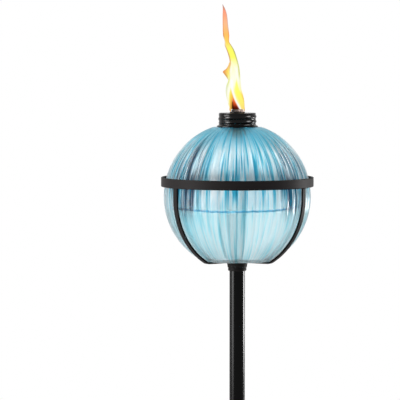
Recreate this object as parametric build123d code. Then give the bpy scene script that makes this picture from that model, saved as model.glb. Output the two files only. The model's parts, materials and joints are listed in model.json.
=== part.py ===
"""A garden torch: a ribbed glass oil globe in a steel cradle on a take-apart pole.

Millimetres, +Z up. The origin is on the pole's axis at ground level, where the spike enters the soil.
Every piece is modelled in place and written as its own STEP file.
"""

import os
from math import asin, cos, pi, radians, sin, sqrt

from build123d import *

# Ground spike and step prong
spike_radius = 6.35
spike_depth = 200.0
spike_point = 50.0
shank_height = 20.0
prong_radius = 4.0
prong_reach = 50.0
prong_depth = 120.0
prong_height = 13.0
prong_bend = 12.0
prong_point = 12.0
weld_gap = 0.05

# Pole: three tubes, each with a swaged lower end that plugs into the tube below
tube_radius = 7.95
tube_wall = 1.0
section_length = 381.0
plug_length = 38.0
plug_clearance = 0.05
swage_taper = 3.0

# Collar between the pole and the cradle
collar_height = 8.5
collar_top_radius = 10.55
collar_waist_radius = 9.7
collar_foot_radius = 9.4
collar_foot_height = 2.6
collar_groove_width = 0.7
collar_groove_depth = 0.5
collar_web = 2.0
collar_chamfer = 0.6

# Globe: a thin glass ball with a flat, pushed-up base and a threaded neck
globe_radius = 75.0
globe_wall = 3.0
foot_radius = 33.67
heel_radius = 10.0
push_up_radius = 28.0
push_up_height = 4.0
floor_thickness = 4.5
shoulder_radius = 25.3
neck_radius = 16.4
neck_bore_radius = 13.0
neck_height = 12.6
neck_root_fillet = 1.2
lip_fillet = 1.0
finish_bead = 0.9
rib_count = 48
rib_depth = 1.0
rib_shape = (0.0, 0.22, 1.0, 0.22)
rib_stations = 14
foot_angle = 75.0

# Cradle: a flat-bar ring above the globe's middle, carried by three bent straps
cradle_clearance = 0.8
bar_thickness = 2.0
ring_height = 9.5
ring_rise = 15.0
bar_edge = 0.5
strap_width = 6.5
strap_bend = 6.0
strap_inner_end = 4.0
front_strap_angle = 57.0

# Screw cap and its gasket
cap_sheet = 0.5
cap_gap = 0.4
cap_valley_radius = 18.5
cap_crest_radius = 19.2
cap_rim_radius = 21.0
cap_corner = 1.0
thread_pitch = 5.0
first_crest_drop = 5.0
flare_height = 1.9
rim_band = 0.9
gasket_thickness = 1.5

# Wick, its tube and the oil
wick_radius = 6.35
wick_floor_gap = 6.6
wick_lowering = 3.0
wick_exposed = 4.3
wick_crown = 1.5
wick_clearance = 0.1
tube_sheet = 0.6
tube_drop = 24.0
tube_stand = 1.0
tube_lip = 0.8
oil_drop = 12.1
oil_film = 0.15
oil_wick_gap = 0.3

# Flame: stations of (share of the height, lean to one side, half width, half depth)
flame_height = 108.0
flame_lift = 0.3
flame_stations = [
    (0.00, 0.3, 6.2, 6.0),
    (0.10, -1.7, 8.6, 7.2),
    (0.20, -3.8, 8.1, 6.8),
    (0.30, -2.9, 6.1, 5.6),
    (0.42, -3.8, 5.6, 4.6),
    (0.57, -7.1, 3.8, 3.4),
    (0.65, -10.2, 2.6, 2.6),
    (0.73, -11.4, 3.0, 2.4),
    (0.84, -12.3, 2.7, 2.0),
    (0.94, -12.9, 1.7, 1.3),
    (1.00, -14.2, 0.4, 0.4),
]

# Heights that follow from the sizes above
middle_pole_bottom = shank_height + section_length
upper_pole_bottom = middle_pole_bottom + section_length
pole_top = upper_pole_bottom + section_length
leg_bottom = pole_top + collar_height
globe_base = leg_bottom + bar_thickness
base_drop = heel_radius + sqrt((globe_radius - heel_radius) ** 2 - foot_radius**2)
shoulder_rise = sqrt(globe_radius**2 - shoulder_radius**2)
neck_top_rise = shoulder_rise + neck_height
globe_centre = globe_base + base_drop
neck_top = globe_centre + neck_top_rise
cap_top = neck_top + gasket_thickness + cap_sheet
cap_rim = globe_centre + shoulder_rise + cap_gap
wick_top = cap_top + wick_exposed
wick_bottom = globe_base + floor_thickness + push_up_height + wick_floor_gap

# Radii that follow from the sizes above
bore_radius = tube_radius - tube_wall
plug_radius = bore_radius - plug_clearance
strap_inner_radius = globe_radius + cradle_clearance
wick_tube_bore = wick_radius + wick_clearance
wick_tube_radius = wick_tube_bore + tube_sheet


def turned(outline):
    """A solid turned about the vertical axis from a closed outline of (radius, height) edges."""
    return revolve(Plane.XZ * make_face(outline), Axis.Z)


def rounded(face, corners):
    """The face with the corner nearest each (radius, height) point rounded by the radius beside it."""
    for point, radius in corners:
        corner = face.vertices().sort_by_distance(point)[0]
        face = fillet(corner, radius)
    return face


def tube(radius, inner_radius, bottom, top):
    """A plain round tube."""
    corners = [(inner_radius, bottom), (radius, bottom), (radius, top), (inner_radius, top)]
    return turned(Polyline(corners, close=True))


# ---------------------------------------------------------------- ground spike


def ground_spike():
    """A pointed rod with a shank as wide as the pole and a plug that fits the pole's bore."""
    return turned(
        Polyline(
            (0, -spike_depth),
            (spike_radius, -spike_depth + spike_point),
            (spike_radius, 0),
            (tube_radius, 0),
            (tube_radius, shank_height),
            (plug_radius, shank_height),
            (plug_radius, shank_height + plug_length),
            (0, shank_height + plug_length),
            close=True,
        )
    )


def step_prong():
    """A bent rod welded to the shank: a step for the foot, then a second, shorter point in the soil."""
    bend_start = (prong_reach - prong_bend, 0, prong_height)
    bend_end = (prong_reach, 0, prong_height - prong_bend)
    path = Line((0, 0, prong_height), bend_start)
    path += TangentArc(bend_start, bend_end, tangent=(1, 0, 0))
    path += Line(bend_end, (prong_reach, 0, prong_point - prong_depth))
    start = Plane((0, 0, prong_height), x_dir=(0, 1, 0), z_dir=(1, 0, 0))
    rod = sweep(start * Circle(prong_radius), path)
    point = Pos(prong_reach, 0, prong_point / 2 - prong_depth) * Cone(0.5, prong_radius, prong_point)
    return rod + point - Pos(0, 0, prong_height) * Cylinder(tube_radius + weld_gap, 4 * prong_radius)


# ------------------------------------------------------------------------ pole


def plain_section(bottom):
    """The lowest pole tube, open at both ends."""
    return tube(tube_radius, bore_radius, bottom, bottom + section_length)


def swaged_section(bottom):
    """A pole tube whose lower end is drawn down to plug into the tube below it."""
    top = bottom + section_length
    return turned(
        Polyline(
            (bore_radius, top),
            (tube_radius, top),
            (tube_radius, bottom),
            (plug_radius, bottom),
            (plug_radius, bottom - plug_length),
            (plug_radius - tube_wall, bottom - plug_length),
            (plug_radius - tube_wall, bottom + tube_wall),
            (bore_radius, bottom + tube_wall + swage_taper),
            close=True,
        )
    )


# --------------------------------------------------------------------- cradle


def socket_collar():
    """A turned collar, grooved above its foot, that the straps are welded to."""
    groove_top = collar_foot_height + collar_groove_width
    return turned(
        Pos(0, pole_top)
        * Polyline(
            (bore_radius, 0),
            (collar_foot_radius - collar_chamfer, 0),
            (collar_foot_radius, collar_chamfer),
            (collar_foot_radius, collar_foot_height),
            (collar_foot_radius - collar_groove_depth, collar_foot_height),
            (collar_foot_radius - collar_groove_depth, groove_top),
            (collar_waist_radius, groove_top),
            (collar_top_radius, collar_height - collar_chamfer),
            (collar_top_radius - collar_chamfer, collar_height),
            (0, collar_height),
            (0, collar_height - collar_web),
            (bore_radius, collar_height - collar_web),
            close=True,
        )
    )


def head_spigot():
    """The tube fixed in the collar that plugs into the top of the pole."""
    top = pole_top + collar_height - collar_web
    return tube(plug_radius, plug_radius - tube_wall, pole_top - plug_length, top)


def cage_ring():
    """The flat-bar hoop, with softened edges, that keeps the globe upright."""
    bar = Pos(strap_inner_radius + bar_thickness / 2, globe_centre + ring_rise)
    return revolve(Plane.XZ * bar * RectangleRounded(bar_thickness, ring_height, bar_edge), Axis.Z)


def cage_strap(angle):
    """A strap that drops from the ring, follows the globe and turns in under its base to the collar."""
    middle_radius = strap_inner_radius + bar_thickness / 2
    leg_drop = base_drop + bar_thickness / 2
    top = ring_rise - ring_height / 2
    turn_drop = leg_drop - strap_bend
    turn_radius = sqrt((middle_radius - strap_bend) ** 2 - turn_drop**2)
    reach = middle_radius / (middle_radius - strap_bend)
    tangent_point = (turn_radius * reach, -turn_drop * reach)
    path = Line((middle_radius, top), (middle_radius, 0))
    path += TangentArc((middle_radius, 0), tangent_point, tangent=(0, -1))
    path += TangentArc(tangent_point, (turn_radius, -leg_drop), tangent=(-turn_drop, -turn_radius))
    path += Line((turn_radius, -leg_drop), (strap_inner_end, -leg_drop))
    section = Plane((middle_radius, 0, top), x_dir=(1, 0, 0), z_dir=(0, 0, -1))
    bar = sweep(section * RectangleRounded(bar_thickness, strap_width, bar_edge), Plane.XZ * path)
    return Rot(0, 0, angle) * Pos(0, 0, globe_centre) * bar


# ---------------------------------------------------------------------- globe


def dome(edge_radius, edge_height, rise):
    """The right half of a shallow arch in outline, from the axis down to its edge."""
    arch_radius = (edge_radius**2 + rise**2) / (2 * rise)
    half_turn = asin(edge_radius / arch_radius) / 2
    crown = edge_height + rise
    middle = (arch_radius * sin(half_turn), crown - arch_radius * (1 - cos(half_turn)))
    return ThreePointArc((0, crown), middle, (edge_radius, edge_height))


def ball_arc(radius, low, high):
    """The right side of a ball in outline, from a low to a high height beside its centre."""
    ends = [(sqrt(radius**2 - height**2), height) for height in (low, high)]
    latitude = (asin(low / radius) + asin(high / radius)) / 2
    return ThreePointArc(ends[0], (radius * cos(latitude), radius * sin(latitude)), ends[1])


def globe_cavity(gap, top):
    """The space inside the globe, a gap short of the glass, cut off flat at a height above the centre."""
    radius = globe_radius - globe_wall - gap
    floor = floor_thickness - base_drop + gap
    floor_radius = sqrt(radius**2 - floor**2)
    top_radius = sqrt(radius**2 - top**2)
    outline = dome(push_up_radius, floor, push_up_height)
    outline += Line((push_up_radius, floor), (floor_radius, floor))
    outline += ball_arc(radius, floor, top)
    outline += Polyline((top_radius, top), (0, top), (0, floor + push_up_height))
    heel = [((floor_radius, floor), heel_radius - globe_wall)]
    return revolve(Plane.XZ * rounded(make_face(outline), heel), Axis.Z)


def cross_section(radius, height, depth):
    """A cross-section of the ball: faceted convex ribs with narrow grooves of the given depth between."""
    points = []
    for step in range(rib_count * len(rib_shape)):
        reach = radius - depth * rib_shape[step % len(rib_shape)]
        turn = 2 * pi * step / (rib_count * len(rib_shape))
        points.append((reach * cos(turn), reach * sin(turn)))
    return Pos(0, 0, height) * make_face(Polyline(points, close=True))


def ribbed_ball():
    """The solid ball from its flat foot up to the shoulder, with ribs that fade out at both ends."""
    heel_rise = base_drop - heel_radius * sin(radians(foot_angle))
    heel_centre = sqrt((globe_radius - heel_radius) ** 2 - heel_rise**2)
    low = -asin(heel_rise / (globe_radius - heel_radius))
    high = asin(shoulder_rise / globe_radius)
    sections = [cross_section(heel_centre + heel_radius * cos(radians(foot_angle)), -base_drop, 0)]
    for step in range(rib_stations + 1):
        share = step / rib_stations
        latitude = low + share * (high - low)
        depth = rib_depth * (1 - (2 * share - 1) ** 4)
        sections.append(cross_section(globe_radius * cos(latitude), globe_radius * sin(latitude), depth))
    return loft(sections)


def push_up():
    """The shallow dome pressed up into the globe's base."""
    return turned(dome(push_up_radius, -base_drop, push_up_height) + Polyline(
        (push_up_radius, -base_drop), (0, -base_drop), (0, push_up_height - base_drop)
    ))


def globe_neck():
    """The solid neck, with a filleted root, a rounded lip and two low beads where the thread is."""
    root = neck_radius + neck_root_fillet
    outline = Polyline((0, shoulder_rise), (root, shoulder_rise))
    outline += TangentArc(
        (root, shoulder_rise), (neck_radius, shoulder_rise + neck_root_fillet), tangent=(-1, 0)
    )
    outline += Polyline(
        (neck_radius, shoulder_rise + neck_root_fillet),
        (neck_radius, neck_top_rise),
        (0, neck_top_rise),
        (0, shoulder_rise),
    )
    lip = [((neck_radius, neck_top_rise), lip_fillet)]
    neck = revolve(Plane.XZ * rounded(make_face(outline), lip), Axis.Z)
    first_bead = neck_top_rise + gasket_thickness + cap_sheet - first_crest_drop
    for turn in range(2):
        neck += Pos(0, 0, first_bead - turn * thread_pitch) * Torus(neck_radius, finish_bead)
    return neck


def glass_globe():
    """The ribbed glass ball, hollow, open at its threaded neck."""
    bore_top = sqrt((globe_radius - globe_wall) ** 2 - neck_bore_radius**2)
    bore = Pos(0, 0, (bore_top + neck_top_rise) / 2) * Cylinder(neck_bore_radius, neck_top_rise - bore_top)
    glass = ribbed_ball() + globe_neck() - push_up() - globe_cavity(0, bore_top) - bore
    return Pos(0, 0, globe_centre) * glass


def lamp_oil():
    """The oil in the globe, up to its level, with a hole that the wick stands in and can be lowered into."""
    oil = Pos(0, 0, globe_centre) * globe_cavity(oil_film, -oil_drop)
    hole_bottom = wick_bottom - wick_lowering - oil_wick_gap
    hole_height = wick_top - hole_bottom
    hole = Pos(0, 0, hole_bottom + hole_height / 2) * Cylinder(wick_radius + oil_wick_gap, hole_height)
    return oil - hole


# ------------------------------------------------------------------ cap and wick


def cap_skirt(inset):
    """The cap's rolled side in outline, from under its top corner to its flared rim."""
    crest = cap_crest_radius - inset
    valley = cap_valley_radius - inset
    first = cap_top - first_crest_drop
    half = thread_pitch / 2
    waves = Spline(
        (valley, first + half),
        (crest, first),
        (valley, first - half),
        (crest, first - thread_pitch),
        (valley, first - thread_pitch - half),
        tangents=[(0, -1), (0, -1)],
    )
    flare_top = cap_rim + rim_band + flare_height
    flare = Polyline(
        (valley, first - thread_pitch - half),
        (valley, flare_top - inset),
        (cap_rim_radius - inset, cap_rim + rim_band),
        (cap_rim_radius - inset, cap_rim),
    )
    return [Line((valley, cap_top - inset), (valley, first + half)), waves, *flare.edges()]


def screw_cap():
    """A pressed-steel screw cap with a rolled thread, a flared rim and a round hole for the wick tube."""
    hole = wick_tube_radius + weld_gap
    rim = Line((cap_rim_radius, cap_rim), (cap_rim_radius - cap_sheet, cap_rim))
    top = Polyline(
        (cap_valley_radius, cap_top),
        (hole, cap_top),
        (hole, cap_top - cap_sheet),
        (cap_valley_radius - cap_sheet, cap_top - cap_sheet),
    )
    face = make_face([*cap_skirt(0), rim, *cap_skirt(cap_sheet), *top.edges()])
    corners = [
        ((cap_valley_radius, cap_top), cap_corner),
        ((cap_valley_radius - cap_sheet, cap_top - cap_sheet), cap_corner - cap_sheet),
    ]
    return revolve(Plane.XZ * rounded(face, corners), Axis.Z)


def cap_gasket():
    """A flat ring that seals the cap on the neck's lip."""
    return tube(neck_radius + lip_fillet / 2, neck_bore_radius, neck_top, neck_top + gasket_thickness)


def wick_tube():
    """A short tube through the cap that holds the wick, with a rolled lip on top of the cap."""
    body = tube(wick_tube_radius, wick_tube_bore, cap_top - tube_drop, cap_top + tube_stand)
    lip = Pos(0, 0, cap_top + tube_stand / 2) * (
        Cylinder(wick_tube_radius + tube_lip, tube_stand) - Cylinder(wick_tube_bore, tube_stand)
    )
    lip = fillet(lip.edges().group_by(Axis.Z)[-1].sort_by(SortBy.RADIUS)[-1], tube_stand / 2)
    return body + lip


def wick():
    """A round braided wick with a softened top."""
    rod = Pos(0, 0, (wick_bottom + wick_top) / 2) * Cylinder(wick_radius, wick_top - wick_bottom)
    return fillet(rod.edges().group_by(Axis.Z)[-1], wick_crown)


def flame():
    """A leaning, twisting flame as one closed solid that narrows to a tip."""
    foot = wick_top + flame_lift
    sections = [
        Pos(lean, 0, foot + share * flame_height) * Ellipse(half_width, half_depth)
        for share, lean, half_width, half_depth in flame_stations
    ]
    return loft(sections)


pieces = {
    "ground_spike": ground_spike(),
    "step_prong": step_prong(),
    "lower_pole": plain_section(shank_height),
    "middle_pole": swaged_section(middle_pole_bottom),
    "upper_pole": swaged_section(upper_pole_bottom),
    "socket_collar": socket_collar(),
    "head_spigot": head_spigot(),
    "cage_ring": cage_ring(),
    "cage_strap_front_left": cage_strap(-90 - front_strap_angle),
    "cage_strap_front_right": cage_strap(-90 + front_strap_angle),
    "cage_strap_rear": cage_strap(90),
    "glass_globe": glass_globe(),
    "lamp_oil": lamp_oil(),
    "screw_cap": screw_cap(),
    "cap_gasket": cap_gasket(),
    "wick_tube": wick_tube(),
    "wick": wick(),
    "flame": flame(),
}

os.makedirs("parts", exist_ok=True)
for name, piece in pieces.items():
    export_step(piece, f"parts/{name}.step")
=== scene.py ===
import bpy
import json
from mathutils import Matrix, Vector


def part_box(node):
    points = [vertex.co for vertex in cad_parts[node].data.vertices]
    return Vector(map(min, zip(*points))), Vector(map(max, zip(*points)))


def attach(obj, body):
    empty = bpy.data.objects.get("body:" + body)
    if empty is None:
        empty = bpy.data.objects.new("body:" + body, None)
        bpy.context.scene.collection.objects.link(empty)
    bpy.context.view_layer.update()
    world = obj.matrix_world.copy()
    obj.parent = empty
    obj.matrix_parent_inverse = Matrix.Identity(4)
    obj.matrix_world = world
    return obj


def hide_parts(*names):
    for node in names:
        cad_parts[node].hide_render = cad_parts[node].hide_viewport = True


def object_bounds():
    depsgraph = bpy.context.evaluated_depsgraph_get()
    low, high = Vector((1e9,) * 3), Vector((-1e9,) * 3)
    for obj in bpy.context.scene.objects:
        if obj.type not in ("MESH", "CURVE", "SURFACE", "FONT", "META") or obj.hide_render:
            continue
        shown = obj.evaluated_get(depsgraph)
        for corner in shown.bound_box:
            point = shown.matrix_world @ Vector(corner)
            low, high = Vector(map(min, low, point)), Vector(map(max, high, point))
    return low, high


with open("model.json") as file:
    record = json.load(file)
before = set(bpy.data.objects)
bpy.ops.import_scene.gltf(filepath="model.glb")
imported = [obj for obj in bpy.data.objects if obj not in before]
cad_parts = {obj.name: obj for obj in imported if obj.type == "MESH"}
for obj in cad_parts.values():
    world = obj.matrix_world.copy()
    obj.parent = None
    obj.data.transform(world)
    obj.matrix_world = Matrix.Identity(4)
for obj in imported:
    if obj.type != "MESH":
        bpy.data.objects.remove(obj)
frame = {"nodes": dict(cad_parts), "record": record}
cad_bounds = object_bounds()

"""The looks of a garden torch: a ribbed glass oil globe in a black steel cradle on a take-apart pole."""

import json
import logging
from dataclasses import dataclass, field
from enum import StrEnum
from math import asin, atan2, cos, floor, pi, radians, sin, sqrt

import bmesh
import bpy
from mathutils import Vector

log = logging.getLogger("garden_torch")

Tree = bpy.types.NodeTree
Socket = bpy.types.NodeSocket
Material = bpy.types.Material
Piece = bpy.types.Object
Mesh = bmesh.types.BMesh
Outline = list[tuple[float, float]]
Stops = tuple[tuple[float, str], ...]

MM = 0.001
FULL_TURN = 2 * pi
WHITE = (1, 1, 1, 1)
MERGE_DISTANCE = 1e-6


class Body(StrEnum):
    """The moving bodies that the dressed pieces ride on."""

    CRADLE = "cradle"
    GLOBE = "globe"
    CAP = "cap"
    WICK = "wick"


class Slot(StrEnum):
    """The record's material slots."""

    POLE = "pole_black"
    CAGE = "cage_black"
    CAP = "cap_black"
    GLASS = "blue_glass"
    OIL = "oil"
    GASKET = "gasket"
    WICK = "wick"
    FLAME = "flame"


# ---- small helpers


def linear(hex_code: str) -> tuple[float, float, float, float]:
    """Turn six hex digits of sRGB into linear red, green and blue with an alpha of one."""
    channels = [int(hex_code[i : i + 2], 16) / 255 for i in (0, 2, 4)]
    return (*(c / 12.92 if c <= 0.04045 else ((c + 0.055) / 1.055) ** 2.4 for c in channels), 1.0)


def add_node(
    tree: Tree, kind: str, settings: dict | None = None, inputs: dict | None = None
) -> bpy.types.Node:
    """Add one shader node with its settings and links.

    Args:
        tree: The material's or world's node tree.
        kind: The node's type name, without ShaderNode in front.
        settings: Attributes of the node.
        inputs: Values or output sockets, by the name or number of the input that takes them.

    Returns:
        The new node.
    """
    node = tree.nodes.new(f"ShaderNode{kind}")
    for name, value in (settings or {}).items():
        setattr(node, name, value)
    for name, value in (inputs or {}).items():
        if isinstance(value, Socket):
            tree.links.new(value, node.inputs[name])
        else:
            node.inputs[name].default_value = value
    return node


def ramp(tree: Tree, factor: Socket, stops: Stops) -> Socket:
    """Add a colour ramp.

    Args:
        tree: The node tree.
        factor: The socket that drives the ramp.
        stops: Places from 0 to 1 and their hex colours.

    Returns:
        The ramp's colour socket.
    """
    node = add_node(tree, "ValToRGB", inputs={"Fac": factor})
    elements = node.color_ramp.elements
    while len(elements) < len(stops):
        elements.new(0.5)
    for element, (place, colour) in zip(elements, stops):
        element.position = place
        element.color = linear(colour)
    return node.outputs["Color"]


def math_node(tree: Tree, operation: str, *values: object, clamp: bool = False) -> Socket:
    """Add a Math node for numbers or sockets and return its value, held between 0 and 1 if clamped."""
    settings = {"operation": operation, "use_clamp": clamp}
    return add_node(tree, "Math", settings, dict(enumerate(values))).outputs[0]


def product(tree: Tree, first: object, second: object, clamp: bool = False) -> Socket:
    """Multiply two numbers or sockets."""
    return math_node(tree, "MULTIPLY", first, second, clamp=clamp)


def scaled(tree: Tree, value: Socket, factor: object, offset: object, clamp: bool = False) -> Socket:
    """Multiply a value by a factor and add an offset."""
    return math_node(tree, "MULTIPLY_ADD", value, factor, offset, clamp=clamp)


def mix_colour(tree: Tree, factor: object, first: object, second: object) -> Socket:
    """Blend two colours or sockets: a factor of 0 gives the first and 1 the second."""
    node = add_node(tree, "Mix", {"data_type": "RGBA"}, {0: factor, 6: first, 7: second})
    return node.outputs[2]


def material_tree(name: str) -> tuple[Material, Tree, bpy.types.Node]:
    """Start a node material.

    Args:
        name: The material's name.

    Returns:
        The material, its empty tree and its output node.
    """
    material = bpy.data.materials.new(name)
    material.use_nodes = True
    tree = material.node_tree
    tree.nodes.clear()
    return material, tree, add_node(tree, "OutputMaterial")


def object_place(tree: Tree, centre: Vector | None = None, scale: Vector | None = None) -> Socket:
    """Give the surface point in object space, moved so that a centre is at nought and then scaled."""
    place = add_node(tree, "TexCoord").outputs["Object"]
    if centre is None and scale is None:
        return place
    scale = scale or Vector((1, 1, 1))
    shift = Vector([-c * s for c, s in zip(centre or Vector((0, 0, 0)), scale)])
    inputs = {"Vector": place, "Location": shift, "Scale": scale}
    return add_node(tree, "Mapping", inputs=inputs).outputs[0]


def noise_node(tree: Tree, place: Socket, scale: float, detail: float) -> Socket:
    """Add a Noise texture and return its grey value."""
    inputs = {"Vector": place, "Scale": scale, "Detail": detail}
    return add_node(tree, "TexNoise", inputs=inputs).outputs["Fac"]


def bump_node(tree: Tree, height: Socket, strength: float, depth: float) -> Socket:
    """Add a Bump node and return the normal that it bends."""
    inputs = {"Strength": strength, "Distance": depth, "Height": height}
    return add_node(tree, "Bump", inputs=inputs).outputs["Normal"]


def cover_surface(tree: Tree, output: bpy.types.Node, inputs: dict) -> None:
    """Add a Principled shader with these inputs and link it to the material's surface."""
    shader = add_node(tree, "BsdfPrincipled", inputs=inputs)
    tree.links.new(shader.outputs[0], output.inputs["Surface"])


# ---- mesh helpers


def lathe(outline: Outline, steps: int, closed: bool = False) -> Mesh:
    """Spin an outline of (radius, height) points about the vertical axis.

    Args:
        outline: Points from one end of the outline to the other, in metres.
        steps: Segments round the turn.
        closed: Whether the last point joins the first.

    Returns:
        The turned surface, with faces that point outwards.
    """
    bm = bmesh.new()
    verts = [bm.verts.new((radius, 0.0, height)) for radius, height in outline]
    pairs = list(zip(verts, verts[1:]))
    if closed:
        pairs.append((verts[-1], verts[0]))
    edges = [bm.edges.new(pair) for pair in pairs]
    bmesh.ops.spin(
        bm,
        geom=verts + edges,
        cent=(0, 0, 0),
        axis=(0, 0, 1),
        angle=FULL_TURN,
        steps=steps,
        use_merge=True,
    )
    bmesh.ops.remove_doubles(bm, verts=bm.verts[:], dist=MERGE_DISTANCE)
    bmesh.ops.recalc_face_normals(bm, faces=bm.faces[:])
    return bm


def arc(centre: tuple[float, float], radius: float, start: float, end: float, steps: int) -> Outline:
    """Points on an arc in outline, with angles in degrees from straight out."""
    turns = [radians(start + (end - start) * i / steps) for i in range(steps + 1)]
    return [(centre[0] + radius * cos(t), centre[1] + radius * sin(t)) for t in turns]


def make_object(bm: Mesh, name: str, material: Material, smooth_angle: float = 35.0) -> Piece:
    """Turn a bmesh into a finished object at the origin.

    Args:
        bm: The mesh, which is freed.
        name: The object's name.
        material: Its finish.
        smooth_angle: Edges sharper than this many degrees stay sharp.

    Returns:
        The new object.
    """
    mesh = bpy.data.meshes.new(name)
    bm.to_mesh(mesh)
    bm.free()
    mesh.materials.append(material)
    mesh.shade_smooth()
    mesh.set_sharp_from_angle(angle=radians(smooth_angle))
    piece = bpy.data.objects.new(name, mesh)
    bpy.context.scene.collection.objects.link(piece)
    return piece


def fit(piece: Piece, body: Body, slot: Slot, *nodes: str) -> Piece:
    """Make a piece ride on a body and stand for CAD nodes."""
    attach(piece, body)
    if nodes:
        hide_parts(*nodes)
    log.info("%s rides on %s", piece.name, body)
    return piece


# ---- finishes


@dataclass(frozen=True)
class PaintedSteel:
    """Powder-coated or enamelled steel: an opaque dark film whose sheen shows the metal's slight waviness."""

    name: str
    colour: str
    roughness: float
    grain_mm: float
    bump: float
    ior: float
    cloud_scale: float = 40.0
    sheen_spread: float = 0.12

    def material(self) -> Material:
        """Build the finish: a dark film with fine orange peel and a little unevenness in its sheen."""
        material, tree, output = material_tree(self.name)
        place = object_place(tree)
        peel = noise_node(tree, place, 1 / (self.grain_mm * MM), 2.0)
        cloud = noise_node(tree, place, self.cloud_scale, 3.0)
        dullest = self.roughness - self.sheen_spread / 2
        inputs = {
            "Base Color": linear(self.colour),
            "Roughness": scaled(tree, cloud, self.sheen_spread, dullest),
            "IOR": self.ior,
            "Normal": bump_node(tree, peel, self.bump, 0.1 * MM),
        }
        cover_surface(tree, output, inputs)
        return material


@dataclass(frozen=True)
class MouldedRubber:
    """Moulded nitrile rubber: matt black with a fine bloom that greys it in patches."""

    name: str
    colour: str
    bloom: str
    patch_mm: float = 2.0
    grain_mm: float = 0.3

    def material(self) -> Material:
        """Build the finish: bloom in patches over a fine mould grain."""
        material, tree, output = material_tree(self.name)
        place = object_place(tree)
        patch = noise_node(tree, place, 1 / (self.patch_mm * MM), 3.0)
        grain = noise_node(tree, place, 1 / (self.grain_mm * MM), 1.0)
        inputs = {
            "Base Color": ramp(tree, patch, ((0.4, self.colour), (0.7, self.bloom))),
            "Roughness": scaled(tree, patch, 0.15, 0.62),
            "IOR": 1.5,
            "Normal": bump_node(tree, grain, 0.2, 0.05 * MM),
        }
        cover_surface(tree, output, inputs)
        return material


@dataclass(frozen=True)
class Streaks:
    """Noise drawn out along the meridians of the globe.

    Its fineness is about a third of the number of streaks in a turn.
    """

    fineness: float
    length_mm: float

    def value(self, tree: Tree, place: Socket) -> Socket:
        """Add the noise.

        Args:
            tree: The material's tree.
            place: The surface point, centred on the globe.

        Returns:
            The noise's grey value.
        """
        parts = add_node(tree, "SeparateXYZ", inputs={"Vector": place}).outputs
        flat = add_node(tree, "CombineXYZ", inputs={"X": parts["X"], "Y": parts["Y"]}).outputs[0]
        bearing = add_node(tree, "VectorMath", {"operation": "NORMALIZE"}, {0: flat}).outputs[0]
        stretch = {0: bearing, "Scale": self.fineness}
        spread = add_node(tree, "VectorMath", {"operation": "SCALE"}, stretch).outputs[0]
        rise = product(tree, parts["Z"], 1 / (self.length_mm * MM))
        lift = add_node(tree, "CombineXYZ", inputs={"Z": rise}).outputs[0]
        where = add_node(tree, "VectorMath", {"operation": "ADD"}, {0: spread, 1: lift}).outputs[0]
        return noise_node(tree, where, 1.0, 1.5)


@dataclass(frozen=True)
class Window:
    """A soft window on a value: one at its middle and nought beyond half a width either side."""

    middle: float
    half: float

    def share(self, tree: Tree, value: Socket) -> Socket:
        """How far a value lies inside, from 0 to 1."""
        away = math_node(tree, "ABSOLUTE", math_node(tree, "SUBTRACT", value, self.middle))
        share = math_node(tree, "DIVIDE", away, self.half, clamp=True)
        inside = math_node(tree, "SUBTRACT", 1.0, math_node(tree, "POWER", share, 2.0))
        return math_node(tree, "POWER", inside, 1.5)


@dataclass(frozen=True)
class GlassPoint:
    """Sockets that say where a point of the globe is.

    They are its place from the globe's centre, its height in millimetres, its bearing from the front with and
    without a sign, and how much oil lies behind it.
    """

    place: Socket
    height: Socket
    turn: Socket
    aside: Socket
    oily: Socket


@dataclass(frozen=True)
class DarkStrokes:
    """Painted shade: navy strokes down the glass that stand for dark parts seen through it by refraction; their
    streaks, where they lie, how crisp and strong they are.
    """

    streaks: Streaks
    sides: Window
    heights: Window
    contrast: float
    offset: float
    strength: float
    colour: str

    def draw(self, tree: Tree, point: GlassPoint, colour: Socket) -> Socket:
        """Lay the strokes over a colour.

        Args:
            tree: The material's tree.
            point: The point of the globe.
            colour: The colour under the strokes.

        Returns:
            The colour with the strokes on it.
        """
        across = self.sides.share(tree, point.aside)
        where = product(tree, across, self.heights.share(tree, point.height))
        noise = self.streaks.value(tree, point.place)
        stroke = scaled(tree, noise, self.contrast, self.offset, clamp=True)
        stroke = product(tree, product(tree, where, stroke), self.strength, clamp=True)
        return mix_colour(tree, stroke, colour, linear(self.colour))


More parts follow.
